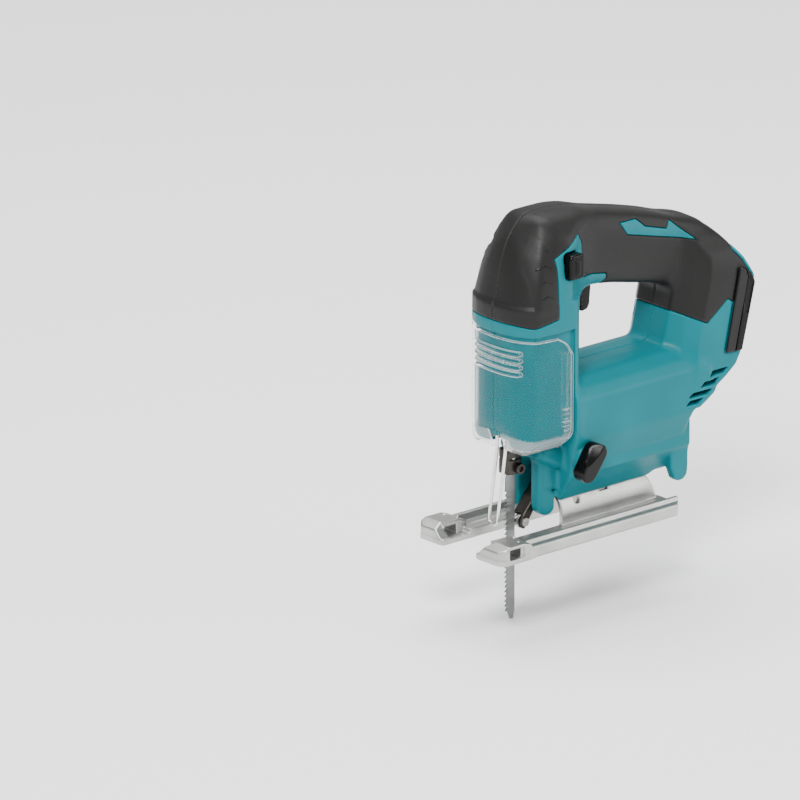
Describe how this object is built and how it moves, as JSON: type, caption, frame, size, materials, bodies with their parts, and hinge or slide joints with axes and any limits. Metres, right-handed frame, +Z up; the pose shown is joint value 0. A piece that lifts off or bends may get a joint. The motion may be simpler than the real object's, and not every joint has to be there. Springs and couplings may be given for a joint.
{
  "type": "cordless jigsaw",
  "caption": "Cordless top-handle jigsaw with a D-shaped rubber grip, clear sliding dust cover, tilting cast base and reciprocating blade.",
  "frame": {"origin": "on the sole plane and the centre line, at the blade's back edge", "axes": "-X is the cutting direction, -Y the operator's left, +Z up from the sole"},
  "size_m": [0.209, 0.0783, 0.2523],
  "materials": {
    "teal_shell": "satin moulded polyamide",
    "grip_rubber": "matte moulded elastomer",
    "black_plastic": "satin",
    "clear_plastic": "clear polycarbonate",
    "cast_alloy": "die-cast, lightly brushed",
    "aluminium": "die-cast",
    "steel": "ground",
    "bright_steel": "polished stainless",
    "dark_steel": "sintered, oiled",
    "blade_steel": "ground, blued upper half",
    "brass": "plain",
    "bronze": "sintered",
    "copper": "enamelled winding wire",
    "magnet": "ferrite",
    "carbon": "pressed carbon",
    "board": "lacquered",
    "lead_sleeve": "flexible sleeve"
  },
  "bodies": {
    "housing": {"left_housing": "teal_shell", "right_housing": "teal_shell", "left_grip": "grip_rubber", "right_grip": "grip_rubber", "housing_screws": "steel", "left_rear_pad": "black_plastic", "right_rear_pad": "black_plastic", "terminal_block": "black_plastic", "terminal_contacts": "brass", "control_board": "board", "heat_sink": "aluminium", "switch_body": "black_plastic", "gear_housing": "aluminium", "gear_housing_screws": "dark_steel", "upper_bush": "bronze", "lower_bush": "bronze", "gear_shaft": "steel", "front_bearing": "steel", "rear_bearing": "steel", "motor_can": "dark_steel", "motor_magnets": "magnet", "brush_bracket": "black_plastic", "carbon_brushes": "carbon", "brush_springs": "steel", "motor_leads": "lead_sleeve", "knob_bush": "bronze", "pivot_pin": "steel", "wire_guard": "bright_steel", "saddle_bracket": "aluminium", "saddle_clamp": "dark_steel", "saddle_bolt": "dark_steel", "trigger_pin": "steel"},
    "trigger": {"trigger": "black_plastic"},
    "switch_plunger": {"switch_plunger": "steel"},
    "lock_button": {"lock_button": "black_plastic"},
    "orbit_knob": {"orbit_knob": "black_plastic", "orbit_shaft": "dark_steel"},
    "dust_cover": {"dust_cover": "clear_plastic"},
    "base": {"base_plate": "cast_alloy"},
    "armature": {"armature_shaft": "steel", "armature_core": "dark_steel", "armature_windings": "copper", "commutator": "copper", "cooling_fan": "black_plastic", "pinion": "steel"},
    "crank": {"crank_gear": "dark_steel", "crank_pin": "steel", "gear_sleeve": "bronze"},
    "plunger": {"plunger": "steel", "plunger_yoke": "dark_steel", "blade_holder": "dark_steel", "clamp_bolt": "dark_steel", "saw_blade": "blade_steel"},
    "lever": {"roller_lever": "dark_steel", "roller_pin": "steel"},
    "roller": {"guide_roller": "steel"},
    "orbit_rod": {"orbit_rod": "steel"}
  },
  "joints": [
    {"name": "trigger_squeeze", "type": "hinge", "parent": "housing", "child": "trigger", "pos_m": [0.049, 0, 0.165], "axis": [0, -1, 0], "range_deg": [0, 10], "stiffness_Nm_per_rad": 0.4, "springref_deg": -8.59},
    {"name": "switch_press", "type": "slide", "parent": "housing", "child": "switch_plunger", "axis": [1, 0, 0], "range_m": [0, 0.003]},
    {"name": "lock_slide", "type": "slide", "parent": "housing", "child": "lock_button", "axis": [0, 1, 0], "range_m": [0, 0.005]},
    {"name": "orbit_select", "type": "hinge", "parent": "housing", "child": "orbit_knob", "pos_m": [0.032, -0.03, 0.049], "axis": [0, 1, 0], "range_deg": [0, 90]},
    {"name": "cover_slide", "type": "slide", "parent": "housing", "child": "dust_cover", "axis": [0, 0, -1], "range_m": [0, 0.024]},
    {"name": "base_bevel", "type": "hinge", "parent": "housing", "child": "base", "pos_m": [0.058, 0, 0.011], "axis": [1, 0, 0], "range_deg": [-45, 45]},
    {"name": "crank_spin", "type": "hinge", "parent": "housing", "child": "crank", "pos_m": [0.0165, 0, 0.1048], "axis": [1, 0, 0], "continuous": true},
    {"name": "armature_spin", "type": "hinge", "parent": "housing", "child": "armature", "pos_m": [0.06, 0, 0.076], "axis": [1, 0, 0], "continuous": true},
    {"name": "plunger_stroke", "type": "slide", "parent": "housing", "child": "plunger", "axis": [0, 0, 1], "range_m": [0, 0.026]},
    {"name": "lever_swing", "type": "hinge", "parent": "housing", "child": "lever", "pos_m": [0.0155, 0, 0.02], "axis": [0, 1, 0], "range_deg": [-5, 0]},
    {"name": "rod_lift", "type": "slide", "parent": "housing", "child": "orbit_rod", "axis": [0, 0, 1], "range_m": [0, 0.0007]},
    {"name": "roller_spin", "type": "hinge", "parent": "lever", "child": "roller", "pos_m": [0.0045, 0, 0.0093], "axis": [0, 1, 0], "continuous": true}
  ],
  "couplings": [
    {"joint": "switch_press", "follows": "trigger_squeeze", "m_per_rad": 0.014897},
    {"joint": "armature_spin", "follows": "crank_spin", "ratio": -5},
    {"joint": "rod_lift", "follows": "lever_swing", "m_per_rad": -0.007448}
  ]
}
